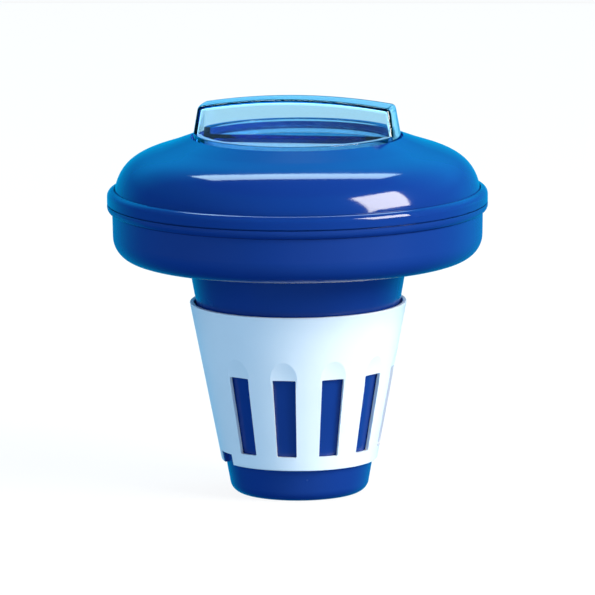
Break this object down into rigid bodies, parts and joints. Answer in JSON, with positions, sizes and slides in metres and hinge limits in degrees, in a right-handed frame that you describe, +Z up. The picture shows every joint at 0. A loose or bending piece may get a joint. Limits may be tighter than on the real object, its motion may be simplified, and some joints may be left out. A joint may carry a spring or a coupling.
{
  "type": "floating chlorine dispenser",
  "caption": "Pool floater with a sealed round blue float, a tapered tablet basket, a white slotted ring that turns to open or shut the slots, and a clear cap with a hollow grip.",
  "frame": {"origin": "centre of the flat base, on the axis", "axes": "+Z up along the axis, +X along the cap's grip, -Y to the front"},
  "size_m": [0.165, 0.165, 0.1727],
  "materials": {
    "blue_plastic": "glossy injection-moulded blue polypropylene",
    "white_plastic": "satin white polypropylene",
    "clear_plastic": "glossy transparent light blue plastic"
  },
  "bodies": {
    "float": {"float_top": "blue_plastic", "float_bottom": "blue_plastic", "tablet_basket": "blue_plastic"},
    "dosing_ring": {"dosing_ring": "white_plastic"},
    "cap": {"cap": "clear_plastic"}
  },
  "joints": [
    {"name": "ring_turn", "type": "hinge", "parent": "float", "child": "dosing_ring", "pos_m": [0, 0, 0.05], "axis": [0, 0, -1], "range_deg": [0, 15]},
    {"name": "cap_lift", "type": "slide", "parent": "float", "child": "cap", "axis": [0, 0, 1], "range_m": [0, 0.1]}
  ]
}
